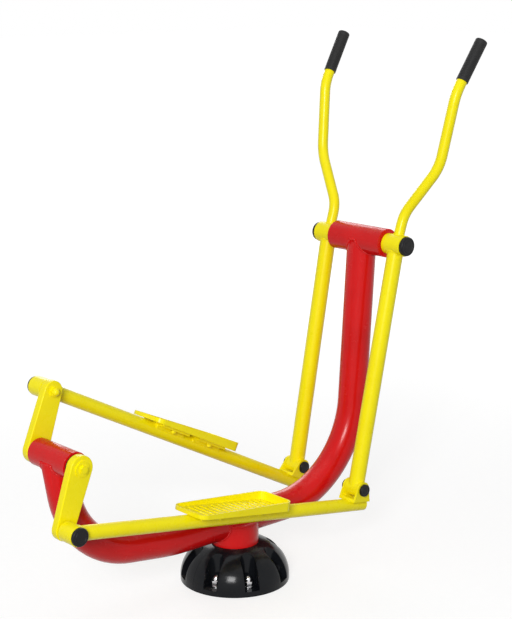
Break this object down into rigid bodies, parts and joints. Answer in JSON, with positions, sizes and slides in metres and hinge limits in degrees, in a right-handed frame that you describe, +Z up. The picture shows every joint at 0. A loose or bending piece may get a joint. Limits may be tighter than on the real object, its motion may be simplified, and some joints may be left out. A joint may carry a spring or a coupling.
{
  "type": "outdoor elliptical walker",
  "caption": "Park walker: bent beam on a domed bolted base, opposed cranks at the rear, pedal bars with foot trays, and swinging levers with gripped handles in front.",
  "frame": {"origin": "on the ground at the centre of the round base, in the plane of the bolts' seating face", "axes": "+X forwards, towards the handles; +Y to the user's left; +Z up along the base's bolt circle axis"},
  "size_m": [1.4331, 0.5804, 1.5614],
  "materials": {
    "red_paint": "glossy powder coat",
    "yellow_paint": "glossy powder coat",
    "black_cover": "glossy",
    "black_cap": "matte",
    "grip_rubber": "matte",
    "bright_steel": "bright plated",
    "steel": "turned",
    "primed_steel": "galvanised and painted dark",
    "bush_plastic": "self lubricating",
    "seal_rubber": "matte"
  },
  "bodies": {
    "frame": {"base_flange": "primed_steel", "base_gussets": "primed_steel", "base_cover": "black_cover", "anchor_cap_nuts": "bright_steel", "column": "red_paint", "column_cap_plates": "red_paint", "main_beam": "red_paint", "crank_housing": "red_paint", "crank_bearings": "steel", "crank_seals": "seal_rubber", "top_cross_tube": "red_paint", "cross_tube_end_plates": "steel", "pivot_axle": "steel", "pivot_spacers": "steel", "pivot_inner_rings": "steel", "pivot_nuts": "steel"},
    "crankset": {"crank_inner_rings": "steel", "crank_shaft": "steel", "crank_keys": "steel", "crank_spacers": "steel", "left_crank_arm": "yellow_paint", "right_crank_arm": "yellow_paint", "crank_pins": "steel", "crank_fasteners": "yellow_paint"},
    "right_lever": {"right_lever_tube": "yellow_paint", "right_lever_hub": "yellow_paint", "right_hub_bearings": "steel", "right_pivot_cap": "black_cap", "right_handle_tube": "yellow_paint", "right_handle_grip": "grip_rubber", "right_lower_boss": "yellow_paint", "right_lower_bushes": "bush_plastic"},
    "right_bar": {"right_pedal_bar": "yellow_paint", "right_bar_plug": "yellow_paint", "right_fork": "yellow_paint", "right_lower_bolt": "bright_steel", "right_lower_caps": "black_cap", "right_foot_tray": "yellow_paint", "right_tray_brackets": "yellow_paint", "right_tray_fasteners": "yellow_paint", "right_rear_housing": "yellow_paint", "right_rear_cap": "black_cap"},
    "left_lever": {"left_lever_tube": "yellow_paint", "left_lever_hub": "yellow_paint", "left_hub_bearings": "steel", "left_pivot_cap": "black_cap", "left_handle_tube": "yellow_paint", "left_handle_grip": "grip_rubber", "left_lower_boss": "yellow_paint", "left_lower_bushes": "bush_plastic"},
    "left_bar": {"left_pedal_bar": "yellow_paint", "left_bar_plug": "yellow_paint", "left_fork": "yellow_paint", "left_lower_bolt": "bright_steel", "left_lower_caps": "black_cap", "left_foot_tray": "yellow_paint", "left_tray_brackets": "yellow_paint", "left_tray_fasteners": "yellow_paint", "left_rear_housing": "yellow_paint", "left_rear_cap": "black_cap"}
  },
  "joints": [
    {"name": "crank", "type": "hinge", "parent": "frame", "child": "crankset", "pos_m": [-0.614, 0, 0.5], "axis": [0, 1, 0], "range_deg": [-22, 22]},
    {"name": "right_lever_swing", "type": "hinge", "parent": "frame", "child": "right_lever", "pos_m": [0.515, 0, 0.951], "axis": [0, 1, 0], "range_deg": [-4.8, 4.8]},
    {"name": "left_lever_swing", "type": "hinge", "parent": "frame", "child": "left_lever", "pos_m": [0.515, 0, 0.951], "axis": [0, 1, 0], "range_deg": [-5, 5]},
    {"name": "right_bar_pivot", "type": "hinge", "parent": "right_lever", "child": "right_bar", "pos_m": [0.35749, 0, 0.23], "axis": [0, 1, 0], "range_deg": [-4.4, 4.4]},
    {"name": "left_bar_pivot", "type": "hinge", "parent": "left_lever", "child": "left_bar", "pos_m": [0.38162, 0, 0.22515], "axis": [0, 1, 0], "range_deg": [-4.5, 4.5]}
  ],
  "couplings": [
    {"joint": "right_lever_swing", "follows": "crank", "ratio": 0.216},
    {"joint": "left_lever_swing", "follows": "crank", "ratio": -0.227},
    {"joint": "right_bar_pivot", "follows": "crank", "ratio": -0.1954},
    {"joint": "left_bar_pivot", "follows": "crank", "ratio": 0.2004}
  ]
}
